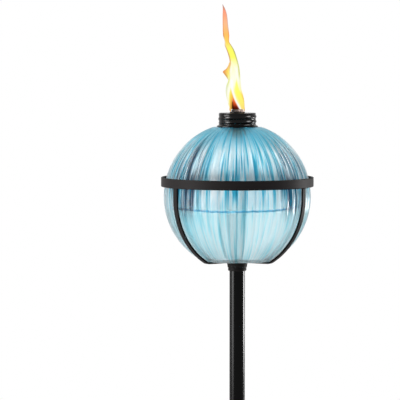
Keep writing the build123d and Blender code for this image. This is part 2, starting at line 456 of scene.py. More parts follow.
@dataclass(frozen=True)
class RibbedGlass:
    """Mould-blown soda-lime glass tinted sky blue.

    The mould's ribs run up and down. The streaks that follow the meridians are painted light over the glass's
    own
    sky blue: pale and white streaks are painted highlights, and mid-blue and navy streaks are painted shade.
    They are longest on the shoulder, darkest beside the straps and faint where oil lies behind them.
    """

    name: str
    centre: Vector
    ribs: int
    middle: float
    broad: Streaks = Streaks(9.0, 70.0)
    fine: Streaks = Streaks(34.0, 45.0)
    ripple: Streaks = Streaks(30.0, 60.0)
    # painted highlights and shade: the white stops paint highlights and the deepest blues paint shade; the wet
    # stops give paler, fainter streaks before the oil
    dry: Stops = ((0.39, "28a4c0"), (0.44, "50c0dc"), (0.47, "acf0fc"), (0.495, "ffffff"), (0.6, "ffffff"))
    wet: Stops = ((0.4, "a8e4f0"), (0.47, "d4f6fc"), (0.52, "f0fcff"), (0.6, "ffffff"))
    groove_shade_blue: str = "48b0cc"
    # painted shade under the cap and behind the ring
    cap_shade_blue: str = "60d0e8"
    ring_shade_blue: str = "50b0d8"
    edge_blue: str = "2c88a4"
    ring_shade: Window = Window(18.0, 26.0)
    # painted shade: navy strokes on both sides towards the straps, the second set lower, round the ring
    dark_streak_shade: DarkStrokes = DarkStrokes(
        Streaks(40.0, 60.0), Window(radians(52), radians(28)), Window(22.0, 52.0), 50.0, -27.3, 1.6, "00304c"
    )
    low_dark_streak_shade: DarkStrokes = DarkStrokes(
        Streaks(18.0, 90.0), Window(radians(47), radians(15)), Window(6.0, 30.0), 40.0, -19.6, 1.5, "003858"
    )
    ior: float = 1.28
    least_roughness: float = 0.283

    def point(self, tree: Tree) -> GlassPoint:
        """Work out where a point of the globe is."""
        place = object_place(tree, self.centre)
        parts = add_node(tree, "SeparateXYZ", inputs={"Vector": place}).outputs
        forward = product(tree, parts["Y"], -1.0)
        turn = math_node(tree, "ARCTAN2", parts["X"], forward)
        height = product(tree, parts["Z"], 1 / MM)
        oily = scaled(tree, height, -0.06, 0.35, clamp=True)
        return GlassPoint(place, height, turn, math_node(tree, "ABSOLUTE", turn), oily)

    def paint_streaks_and_highlights(self, tree: Tree, point: GlassPoint, broad: Socket) -> Socket:
        """Painted highlights and shade: pale, white and mid-blue streaks along the meridians, with a painted
        highlight line along each rib's crest, paler and fainter before the oil.
        """
        fine = self.fine.value(tree, point.place)
        mixed = scaled(tree, fine, 0.65, product(tree, broad, 0.35))
        # painted highlight: a pale line along each rib's crest, weaker before the oil
        crest = math_node(tree, "COSINE", product(tree, point.turn, float(self.ribs)))
        relief = scaled(tree, point.oily, -0.02, 0.035)
        mixed = scaled(tree, crest, relief, mixed)
        return mix_colour(tree, point.oily, ramp(tree, mixed, self.dry), ramp(tree, mixed, self.wet))

    def grooves(self, tree: Tree, point: GlassPoint, colour: Socket) -> Socket:
        """Paint shade along the grooves between the ribs: a deeper blue there, less so before the oil."""
        turn = product(tree, point.turn, self.ribs / FULL_TURN)
        aside = math_node(tree, "ABSOLUTE", math_node(tree, "SUBTRACT", math_node(tree, "FRACT", turn), 0.5))
        # painted shade: a deeper blue in the grooves between the ribs
        groove_shade = scaled(tree, aside, -7.0, 1.0, clamp=True)
        groove_shade = product(tree, groove_shade, scaled(tree, point.oily, -0.25, 0.5))
        return mix_colour(tree, groove_shade, colour, linear(self.groove_shade_blue))

    def shades(self, tree: Tree, point: GlassPoint, colour: Socket) -> Socket:
        """Paint shade into a colour: a deeper blue under the cap, and a little behind the ring."""
        under_cap_shade = scaled(tree, point.height, 0.06, -2.9, clamp=True)
        colour = mix_colour(tree, product(tree, under_cap_shade, 0.8), colour, linear(self.cap_shade_blue))
        behind_ring_shade = product(tree, self.ring_shade.share(tree, point.height), 0.1)
        return mix_colour(tree, behind_ring_shade, colour, linear(self.ring_shade_blue))

    def edges(self, tree: Tree, colour: Socket) -> Socket:
        """Deepen a colour where the glass is seen edge-on and so looks thick."""
        edge_on = add_node(tree, "LayerWeight", inputs={"Blend": 0.35}).outputs["Facing"]
        deep = product(tree, math_node(tree, "POWER", edge_on, 3.5), 0.85)
        return mix_colour(tree, deep, colour, linear(self.edge_blue))

    def material(self) -> Material:
        """Build the finish: the glass's tint with its painted highlights and shade, its soft surface and the
        ripple that bends the view.
        """
        material, tree, output = material_tree(self.name)
        point = self.point(tree)
        broad = self.broad.value(tree, point.place)
        colour = self.paint_streaks_and_highlights(tree, point, broad)
        colour = self.grooves(tree, point, colour)
        colour = self.shades(tree, point, colour)
        colour = self.dark_streak_shade.draw(tree, point, colour)
        colour = self.low_dark_streak_shade.draw(tree, point, colour)
        reach = add_node(tree, "VectorMath", {"operation": "LENGTH"}, {0: point.place}).outputs["Value"]
        outside = math_node(tree, "GREATER_THAN", reach, self.middle)
        dull = scaled(tree, broad, 0.06, 0.268)
        inputs = {
            "Base Color": self.edges(tree, colour),
            "Roughness": math_node(tree, "MAXIMUM", dull, self.least_roughness),
            "IOR": self.ior,
            "Transmission Weight": scaled(tree, outside, -0.03, 1.0),
            "Normal": bump_node(tree, self.ripple.value(tree, point.place), 0.35, 0.6 * MM),
        }
        cover_surface(tree, output, inputs)
        return material


@dataclass(frozen=True)
class LampOil:
    """Clear paraffin lamp oil: it wets the glass, so only its rim shows.
    With no clarity the finish is opaque, and on the rim it paints the blue line that refraction shows at the
    oil's edge.
    """

    name: str
    pale: str
    deep: str
    ior: float
    clarity: float
    drift_scale: float = 130.0

    def material(self) -> Material:
        """Build the finish: clear, with a tint that wavers from place to place."""
        material, tree, output = material_tree(self.name)
        drift = noise_node(tree, object_place(tree), self.drift_scale, 1.0)
        inputs = {
            "Base Color": ramp(tree, drift, ((0.35, self.deep), (0.65, self.pale))),
            "Roughness": 0.02,
            "IOR": self.ior,
            "Transmission Weight": self.clarity,
        }
        cover_surface(tree, output, inputs)
        return material


@dataclass(frozen=True)
class FibreglassBraid:
    """Braided glass yarn: off-white and silky, see-through where oil soaks it, charred where it burns."""

    name: str
    top: float
    yarn_mm: float = 0.9

    def material(self) -> Material:
        """Build the finish: soot on the crown, paler to its right as a painted highlight, and soaked yarn from
        a little below.
        """
        material, tree, output = material_tree(self.name)
        place = object_place(tree, Vector((0, 0, self.top)))
        parts = add_node(tree, "SeparateXYZ", inputs={"Vector": place}).outputs
        yarn = noise_node(tree, place, 1 / (self.yarn_mm * MM), 3.0)
        clean = ramp(tree, yarn, ((0.3, "f0fafc"), (0.7, "ffffff")))
        # painted highlight: the charred crown grows paler towards its right side
        right_highlight = scaled(tree, parts["X"], 1 / (9.0 * MM), 0.4, clamp=True)
        char = ramp(tree, yarn, ((0.35, "060505"), (0.6, "2c2422")))
        highlit_char = ramp(tree, yarn, ((0.35, "3a302e"), (0.5, "9c8880"), (0.62, "e0c8bc")))
        burnt = scaled(tree, parts["Z"], 1 / (3.0 * MM), 2.6, clamp=True)
        soaked = scaled(tree, parts["Z"], -1 / (8.0 * MM), -1.4, clamp=True)
        inputs = {
            "Base Color": mix_colour(tree, burnt, clean, mix_colour(tree, right_highlight, char, highlit_char)),
            "Roughness": 0.7,
            "IOR": 1.1,
            "Transmission Weight": product(tree, soaked, 0.92),
            "Normal": bump_node(tree, yarn, 0.5, 0.2 * MM),
            "Sheen Weight": 0.2,
        }
        cover_surface(tree, output, inputs)
        return material


# ---- the cradle


@dataclass
class WeldBead:
    """A short bead of weld under the black coat, laid in overlapping ripples across a strap."""

    length: float
    height: float
    ripples: float = 4.0
    ripple_depth: float = 0.12
    steps: int = 28
    segments: int = 20

    def build(self, name: str, bearing: float, radius: float, level: float, material: Material) -> Piece:
        """Make one bead.

        Args:
            name: The piece's name.
            bearing: Degrees round from the front, positive to the right.
            radius: How far out the bead's middle lies.
            level: Its height.
            material: The cradle's finish.

        Returns:
            The bead, which rides with the cradle.
        """
        outline = []
        for i in range(self.steps + 1):
            share = i / self.steps
            along = (share - 0.5) * self.length
            swell = sqrt(max(0.0, 1 - (2 * share - 1) ** 4))
            ripple = 1 + self.ripple_depth * cos(FULL_TURN * self.ripples * share)
            outline.append((self.height * swell * ripple, along))
        outline[0] = (0.0, outline[0][1])
        outline[-1] = (0.0, outline[-1][1])
        bm = lathe(outline, self.segments)
        turn = radians(bearing)
        out, side = Vector((sin(turn), -cos(turn), 0)), Vector((cos(turn), sin(turn), 0))
        for vert in bm.verts:
            vert.co = out * (radius + vert.co.x) + side * vert.co.z + Vector((0, 0, level + vert.co.y))
        bmesh.ops.recalc_face_normals(bm, faces=bm.faces[:])
        return fit(make_object(bm, name, material, 60), Body.CRADLE, Slot.CAGE)


@dataclass
class Cradle:
    """The beads that weld the ring, its three straps and the collar together."""

    strap_width: float = 6.5 * MM
    bead_margin: float = 1.2 * MM
    ring_bead_height: float = 0.75 * MM
    collar_bead_height: float = 0.9 * MM
    ring_bead_sink: float = 0.35 * MM
    collar_bead_sink: float = 1.0 * MM
    front_strap: float = 57.0

    def weld_beads(self, material: Material) -> None:
        """Lay a bead where each strap meets the ring's lower edge, outside, and where it leaves the collar."""
        ring_low, ring_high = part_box("cage_ring")
        ring_radius = ring_high.x - self.ring_bead_sink
        collar_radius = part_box("socket_collar")[1].x - self.collar_bead_sink
        strap_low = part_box("cage_strap_rear")[0].z
        length = self.strap_width - self.bead_margin
        ring_bead = WeldBead(length, self.ring_bead_height)
        collar_bead = WeldBead(length, self.collar_bead_height)
        bearings = {"front_left": -self.front_strap, "front_right": self.front_strap, "rear": 180.0}
        for side, bearing in bearings.items():
            ring_bead.build(f"ring_weld_{side}", bearing, ring_radius, ring_low.z, material)
            collar_bead.build(f"collar_weld_{side}", bearing, collar_radius, strap_low, material)


# ---- the globe


@dataclass
class Globe:
    """The ribbed glass globe and the oil in it.

    Its ball, base and neck follow the CAD piece's box.
    """

    ribs: int = 48
    steps_per_rib: int = 8
    wall: float = 3.0 * MM
    rib_depth: float = 1.1 * MM
    base_drop: float = 65.6 * MM
    heel: float = 10.0 * MM
    shoulder: float = 70.6 * MM
    neck_radius: float = 16.4 * MM
    bore_radius: float = 13.0 * MM
    push_up: float = 4.0 * MM
    push_up_radius: float = 28.0 * MM
    floor: float = 4.5 * MM
    radius: float = 75.0 * MM
    oil_film: float = 0.15 * MM
    heel_turn: float = 75.0
    root: float = 1.2 * MM
    lip: float = 1 * MM
    ball_steps: int = 72
    base_steps: int = 10
    calm_depth: float = 14 * MM
    rim_radius: float = 1.0 * MM
    wick_lowering: float = 3.0 * MM
    wick_gap: float = 0.3 * MM
    bottom: float = field(init=False)
    centre: float = field(init=False)
    top: float = field(init=False)

    def __post_init__(self) -> None:
        """Take the globe's place from the CAD piece."""
        low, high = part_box("glass_globe")
        self.bottom, self.top = low.z, high.z
        self.centre = low.z + self.base_drop

    def base(self, level: float) -> Outline:
        """The pushed-up middle of a base in outline, out to the level where it stands."""
        shares = [i / self.base_steps for i in range(self.base_steps + 1)]
        return [(self.push_up_radius * share, level + self.push_up * (1 - share**2)) for share in shares]

    def outer(self) -> Outline:
        """The outer side in outline, from the pushed-up base over the ball to the lip."""
        rise = self.base_drop - self.heel * sin(radians(self.heel_turn))
        heel_centre = sqrt((self.radius - self.heel) ** 2 - rise**2)
        low = -asin(rise / (self.radius - self.heel)) * 180 / pi
        high = asin(self.shoulder / self.radius) * 180 / pi
        points = self.base(self.bottom)
        points += arc((heel_centre, self.centre - rise), self.heel, -self.heel_turn, low, 6)
        points += arc((0, self.centre), self.radius, low, high, self.ball_steps)[1:]
        root_centre = (self.neck_radius + self.root, self.centre + self.shoulder + self.root)
        points += arc(root_centre, self.root, 270, 180, 4)
        points += arc((self.neck_radius - self.lip, self.top - self.lip), self.lip, 0, 90, 4)
        return points

    def inner(self, gap: float = 0.0) -> Outline:
        """The cavity's side in outline, a gap inside the glass, from the floor's middle to the ball's top."""
        radius = self.radius - self.wall - gap
        floor_height = self.floor - self.base_drop + gap
        heel = self.heel - self.wall
        heel_height = floor_height + heel
        heel_centre = sqrt((radius - heel) ** 2 - heel_height**2)
        low = asin(heel_height / (radius - heel)) * 180 / pi
        points = self.base(self.centre + floor_height)
        points += arc((heel_centre, self.centre + heel_height), heel, -90, low, 6)
        high = asin(sqrt(radius**2 - self.bore_radius**2) / radius) * 180 / pi
        points += arc((0, self.centre), radius, low, high, self.ball_steps)[1:]
        return points

    def glass(self, material: Material) -> Piece:
        """Make the globe: both sides in one outline, then press the ribs into the outer side."""
        lip = arc((self.bore_radius + self.lip, self.top - self.lip), self.lip, 90, 180, 4)
        outline = self.outer() + lip + self.inner()[::-1]
        bm = lathe(outline, self.ribs * self.steps_per_rib)
        low = self.bottom + 2 * MM
        high = self.centre + self.shoulder
        for vert in bm.verts:
            reach = sqrt(vert.co.x**2 + vert.co.y**2)
            ball = sqrt(reach**2 + (vert.co.z - self.centre) ** 2)
            outside = ball > self.radius - self.wall / 2 and reach > self.neck_radius * 1.2
            if not (outside and low < vert.co.z < high):
                continue
            latitude = asin(max(-1.0, min(1.0, (vert.co.z - self.centre) / self.radius)))
            share = (latitude + radians(60)) / radians(130)
            fade = max(0.0, 1 - abs(2 * share - 1) ** 5)
            phase = atan2(vert.co.x, -vert.co.y) / FULL_TURN * self.ribs
            offset = abs(phase - floor(phase) - 0.5) * 2
            calm = 0.55 if vert.co.z < self.centre - self.calm_depth else 1.0
            depth = self.rib_depth * fade * calm * (1 - offset) ** 2.2
            scale = 1 - depth / ball
            vert.co.x *= scale
            vert.co.y *= scale
            vert.co.z = self.centre + (vert.co.z - self.centre) * scale
        return fit(make_object(bm, "ribbed_globe", material, 60), Body.GLOBE, Slot.GLASS, "glass_globe")

    def oil(self, material: Material) -> Piece:
        """Make the oil: the cavity's outline up to the oil's level, round the wick's hole."""
        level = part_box("lamp_oil")[1].z
        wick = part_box("wick")[1].x + self.wick_gap
        side = [p for p in self.inner(self.oil_film) if p[1] < level - 0.4 * MM and p[0] > wick]
        edge = sqrt((self.radius - self.wall - self.oil_film) ** 2 - (level - self.centre) ** 2)
        surface = [(edge - 0.2 * MM, level), (wick, level)]
        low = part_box("wick")[0].z - self.wick_lowering - self.wick_gap
        hole = [(wick, level - 30 * MM), (wick, low), (0, low)]
        crown = self.centre + self.floor - self.base_drop + self.oil_film + self.push_up
        bm = lathe([(0, crown)] + side + surface + hole, 128)
        return fit(make_object(bm, "lamp_oil_body", material, 40), Body.GLOBE, Slot.OIL, "lamp_oil")

    def meniscus(self, material: Material) -> Piece:
        """Make the line where the oil climbs the glass: a thin ring that wavers a little with the ribs.
        Its finish paints it as a blue line, a painted line for what refraction shows at the oil's edge.
        """
        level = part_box("lamp_oil")[1].z
        edge = sqrt((self.radius - self.wall) ** 2 - (level - self.centre) ** 2) - 1.2 * MM
        bm = lathe(arc((edge, level + 0.6 * MM), self.rim_radius, 0, 360, 10)[:-1], self.ribs * 6, closed=True)
        for vert in bm.verts:
            turn = atan2(vert.co.x, -vert.co.y)
            climb = 1.6 * sin(turn) ** 2 + 2.6 * max(0.0, sin(turn)) ** 2
            vert.co.z += (0.25 * sin(self.ribs * turn) + 0.3 * sin(7 * turn + 1) + climb) * MM
        return fit(make_object(bm, "oil_meniscus", material, 60), Body.GLOBE, Slot.OIL)


# ---- the cap and the wick


@dataclass
class Cap:
    """The pressed-steel screw cap, whose rolled side carries a right-hand thread."""

    sheet: float = 0.5 * MM
    valley: float = 18.8 * MM
    crest: float = 0.75 * MM
    pitch: float = 5.0 * MM
    corner: float = 0.7 * MM
    hole: float = 7.2 * MM
    rim: float = 21.0 * MM
    rim_band: float = 0.9 * MM
    flare: float = 1.9 * MM
    first_crest: float = 4.9 * MM
    low: float = field(init=False)
    high: float = field(init=False)

    def __post_init__(self) -> None:
        """Take the cap's place from the CAD piece."""
        low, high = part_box("screw_cap")
        self.low, self.high = low.z, high.z

    def side(self, inset: float) -> Outline:
        """One side of the sheet in outline, from the hole in the top down to the rim."""
        top = self.high - inset
        wall = self.valley - inset
        flare_top = self.low + self.rim_band + self.flare
        bend = self.corner - inset
        width = wall - bend - self.hole
        points = [(self.hole + width * i / 6, top) for i in range(6)]
        points += arc((wall - bend, top - bend), bend, 90, 0, 6)
        steps = 40
        straight = top - bend - flare_top
        points += [(wall, top - bend - straight * i / steps) for i in range(1, steps)]
        spread = self.rim - inset - wall
        points += [(wall + spread * t**2, flare_top - self.flare * t) for t in (0, 0.25, 0.5, 0.75, 1)]
        points.append((self.rim - inset, self.low))
        return points

    def build(self, material: Material) -> Piece:
        """Make the cap and roll the thread into its side."""
        bm = lathe(self.side(0) + self.side(self.sheet)[::-1], 160, closed=True)
        top = self.high - self.corner - 0.6 * MM
        low = self.low + self.rim_band + self.flare
        for vert in bm.verts:
            reach = sqrt(vert.co.x**2 + vert.co.y**2)
            if reach < self.valley - 1.2 * MM or not low - 1e-5 < vert.co.z < top:
                continue
            turn = atan2(vert.co.x, -vert.co.y) / FULL_TURN
            phase = (self.high - self.first_crest - vert.co.z) / self.pitch + turn
            share = (top - vert.co.z) / (top - low)
            fade = min(1.0, share * 6) * min(1.0, (1 - share) * 6)
            wave = (0.5 + 0.5 * cos(FULL_TURN * phase)) ** 1.3
            scale = 1 + self.crest * wave * fade / reach
            vert.co.x *= scale
            vert.co.y *= scale
        return fit(make_object(bm, "threaded_cap", material, 50), Body.CAP, Slot.CAP, "screw_cap")


@dataclass
class Wick:
    """The round braided fibreglass wick."""

    strands: int = 9
    relief: float = 0.3 * MM
    lay: float = 9.0 * MM
    burnt: float = 0.8 * MM

    def build(self, material: Material) -> Piece:
        """Make a rod with a softened top and raise the braid's strands on its side."""
        low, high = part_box("wick")
        radius = high.x
        high.z -= self.burnt
        length = high.z - low.z
        steps = 320
        side = [(radius, low.z + (length - 1.5 * MM) * i / steps) for i in range(steps + 1)]
        crown = arc((radius - 1.5 * MM, high.z - 1.5 * MM), 1.5 * MM, 0, 90, 4)[1:]
        top = [(crown[-1][0] * (1 - i / 5), high.z - 0.2 * MM * (i % 2)) for i in range(1, 5)]
        bm = lathe([(0, low.z)] + side + crown + top + [(0, high.z - 0.3 * MM)], 108)
        for vert in bm.verts:
            reach = sqrt(vert.co.x**2 + vert.co.y**2)
            if reach < radius * 0.3:
                continue
            turn = atan2(vert.co.y, vert.co.x)
            rise = vert.co.z / self.lay * pi
            braid = abs(sin(self.strands * turn / 2 + rise)) * abs(sin(self.strands * turn / 2 - rise))
            scale = 1 - self.relief * (1 - braid) / reach
            vert.co.x *= scale
            vert.co.y *= scale
        return fit(make_object(bm, "braided_wick", material, 60), Body.WICK, Slot.WICK, "wick")


# ---- the flame


@dataclass(frozen=True)
class Tongue:
    """One sheet of burning gas: stations of (height above the wick, left edge, right edge) in millimetres."""

    name: str
    stations: tuple[tuple[float, float, float], ...]

    def edges(self, height: float) -> tuple[float, float]:
        """The left and right edges at a height, on a smooth curve through the stations."""
        last = len(self.stations) - 2
        place = next((i for i in range(last) if height <= self.stations[i + 1][0]), last)
        before = self.stations[max(place - 1, 0)]
        here, after = self.stations[place], self.stations[place + 1]
        beyond = self.stations[min(place + 2, len(self.stations) - 1)]
        span = after[0] - here[0]
        t = (height - here[0]) / span
        result = []
        for side in (1, 2):
            start = (after[side] - before[side]) / (after[0] - before[0]) * span
            end = (beyond[side] - here[side]) / (beyond[0] - here[0]) * span
            result.append(
                (2 * t**3 - 3 * t**2 + 1) * here[side]
                + (t**3 - 2 * t**2 + t) * start
                + (3 * t**2 - 2 * t**3) * after[side]
                + (t**3 - t**2) * end
            )
        return result[0], max(result[1], result[0] + 0.05)

    def cover(self, height: float, across: float, soft: float) -> float:
        """How much of a point this sheet covers, from 0 to 1 over a soft edge."""
        if not self.stations[0][0] <= height <= self.stations[-1][0]:
            return 0.0
        left, right = self.edges(height)
        inside = min(across - left, right - across)
        return max(0.0, min(1.0, 0.5 + inside / soft))


@dataclass(frozen=True)
class Glow:
    """The colours of one sheet by height, from its foot to its tip: left edge, middle and right edge."""

    left: Stops
    middle: Stops
    right: Stops
    edge: float = 0.6
    blur: float = 0.25

    def paint(self, tree: Tree, up: Socket, across: Socket) -> Socket:
        """Blend the three ramps across the sheet.

        Args:
            tree: The material's tree.
            up: How far up the sheet a point is, from 0 to 1.
            across: How far across it is, from -1 to 1.

        Returns:
            The colour's socket.
        """
        colour = ramp(tree, up, self.middle)
        for side, stops in ((-1.0, self.left), (1.0, self.right)):
            near = scaled(tree, across, side, -self.edge)
            share = math_node(tree, "DIVIDE", near, self.blur, clamp=True)
            colour = mix_colour(tree, share, colour, ramp(tree, up, stops))
        return colour


# The sheets inside the flame, in the order that the gas is laid over the body, and then the outer ones
WHITE_GAS: Stops = ((0.0, "ffffff"), (1.0, "ffffff"))
PALE_GAS: Stops = ((0.0, "ffffe8"), (1.0, "ffffd8"))
HEART = Tongue(
    "heart",
    ((6.0, -9.7, -9.0), (12.0, -10.4, -9.0), (16.9, -10.6, -8.4), (21.0, -10.2, -5.6), (24.1, -9.2, -3.6),
     (29.2, -7.8, -3.0), (34.3, -7.4, -2.4), (39.4, -6.2, -2.4), (44.0, -6.2, -4.0), (49.0, -6.8, -6.0)),
)
COLUMN = Tongue(
    "column",
    ((-0.2, 3.2, 8.0), (3.7, 1.9, 8.0), (8.8, -0.6, 7.5), (13.9, -2.6, 5.3), (19.0, -3.8, 3.0),
     (24.1, -3.0, 1.0), (29.2, -1.9, -0.2), (34.0, -1.2, -0.7)),
)
BAND = Tongue(
    "band",
    ((-0.2, 2.2, 3.8), (3.7, -0.1, 1.8), (8.8, -2.7, -1.0), (13.9, -4.8, -2.9), (19.0, -6.3, -4.4),
     (24.0, -7.1, -4.8), (30.0, -7.3, -5.2)),
)
FLAMELET = Tongue(
    "flamelet",
    ((-0.2, -8.3, -4.6), (3.7, -8.7, -4.4), (8.8, -8.9, -3.6), (13.0, -8.8, -4.4), (17.0, -8.3, -5.6),
     (22.0, -7.3, -6.9)),
)
CORE = Tongue(
    "core",
    ((-0.2, -5.8, 2.6), (1.5, -5.9, 1.8), (4.7, -6.0, -0.1), (8.8, -5.7, -2.5), (12.6, -5.0, -4.5)),
)
INNER_SHEETS = {
    COLUMN: Glow(
        ((0.0, "fff8b0"), (0.5, "ffff98"), (1.0, "ffffe0")),
        ((0.0, "ffdc78"), (0.2, "fff078"), (0.5, "ffff6c"), (0.8, "ffff88"), (1.0, "fffff0")),
        ((0.0, "d8a04c"), (0.3, "f0b850"), (0.45, "ffd868"), (0.6, "ffffb8"), (1.0, "ffffe8")),
        0.45, 0.5,
    ),
    HEART: Glow(PALE_GAS, ((0.0, "fffff4"), (0.6, "ffffec"), (1.0, "ffffc0")), PALE_GAS, 0.6, 0.4),
    FLAMELET: Glow(
        ((0.0, "fff0a0"), (0.5, "fff890"), (1.0, "ffffa0")),
        ((0.0, "dc9838"), (0.35, "f4b848"), (0.65, "ffd850"), (1.0, "ffff78")),
        ((0.0, "904820"), (0.3, "c87028"), (0.6, "f0a040"), (1.0, "ffe868")),
        0.3, 0.5,
    ),
    CORE: Glow(
        ((0.0, "201008"), (0.3, "301004"), (0.55, "6c2408"), (0.75, "f08878"), (1.0, "f8a050")),
        ((0.0, "3c0c04"), (0.2, "6c1c08"), (0.45, "d04c20"), (0.7, "f07030"), (1.0, "ffa850")),
        ((0.0, "601804"), (0.15, "982c0c"), (0.45, "e87430"), (1.0, "ffb050")),
        0.2, 0.6,
    ),
    BAND: Glow(WHITE_GAS, WHITE_GAS, WHITE_GAS),
}
BODY = Tongue(
    "flame_body",
    ((0.0, -6.6, 7.0), (2.7, -8.4, 7.3), (8.8, -10.2, 6.9), (13.9, -11.4, 5.9), (19.0, -11.9, 4.4),
     (24.1, -11.2, 3.6), (30.2, -9.0, 3.2), (37.9, -9.6, 2.4), (42.5, -9.2, 1.9), (46.6, -8.0, 0.9),
     (51.7, -8.4, -0.4), (59.8, -10.9, -3.2), (65.0, -13.0, -6.2), (68.5, -13.0, -8.4),
     (75.1, -14.6, -8.4), (85.3, -15.0, -9.5), (95.5, -15.1, -10.6), (101.5, -14.9, -12.4),
     (106.6, -15.3, -15.1)),
)
BODY_GLOW = Glow(
    ((0.0, "f6e8a8"), (0.08, "f2f0c0"), (0.2, "e6ecc8"), (0.26, "e4ec98"), (0.33, "f4ee70"),
     (0.42, "f4b878"), (0.5, "d8a868"), (0.58, "dca070"), (0.62, "f4d8b0"), (0.66, "f8dca0"),
     (0.7, "e08c4c"), (0.78, "f2a56e"), (0.95, "f5a080")),
    ((0.0, "ffe890"), (0.08, "fff8a0"), (0.18, "ffffc0"), (0.3, "fffff0"), (0.38, "fffff0"),
     (0.45, "ffffb0"), (0.5, "ffff6c"), (0.57, "ffff66"), (0.61, "fff078"), (0.65, "ffd460"),
     (0.71, "ffc468"), (0.82, "ffc090"), (0.93, "ffa080"), (0.96, "d89078"), (1.0, "b0988c")),
    ((0.0, "e8b850"), (0.1, "ffd058"), (0.18, "fff8b0"), (0.28, "f8fad8"), (0.34, "dcdc6c"),
     (0.42, "d4d680"), (0.55, "b8b868"), (0.61, "c8b868"), (0.65, "f0a040"), (0.7, "ff9428"),
     (0.74, "f0a060"), (0.78, "e4b4a4"), (0.9, "dcaca0"), (1.0, "a08478")),
)
SIDE_TONGUE = Tongue(
    "flame_side_tongue",
    ((28.5, -8.8, -7.8), (31.0, -10.2, -6.4), (34.0, -12.2, -6.0), (36.2, -13.9, -6.2),
     (37.9, -14.9, -7.0), (39.2, -14.0, -7.4), (41.0, -11.6, -7.8), (44.0, -9.6, -8.0), (47.5, -8.4, -8.0)),
)
SIDE_GLOW = Glow(
    ((0.0, "f8f8c0"), (0.25, "d8b060"), (0.5, "e8985c"), (0.7, "f0b070"), (1.0, "f4c890")),
    ((0.0, "fffff0"), (0.25, "fffc90"), (0.5, "ffd060"), (0.7, "ffe070"), (1.0, "ffe080")),
    ((0.0, "fffff4"), (0.4, "ffff90"), (0.7, "fff480"), (1.0, "fff078")),
    0.1, 0.6,
)
AMBER: Stops = ((0.0, "b87848"), (0.4, "e8b458"), (1.0, "ffe890"))
LICKS = (
    Tongue("flame_left_lick", ((-2.6, -7.3, -6.6), (-1.2, -8.0, -6.5), (0.6, -8.2, -6.2), (2.4, -7.9, -6.6))),
    Tongue("flame_right_lick", ((-2.8, 6.5, 7.0), (-1.2, 6.5, 7.5), (0.6, 6.2, 7.6), (2.4, 6.6, 7.4))),
)


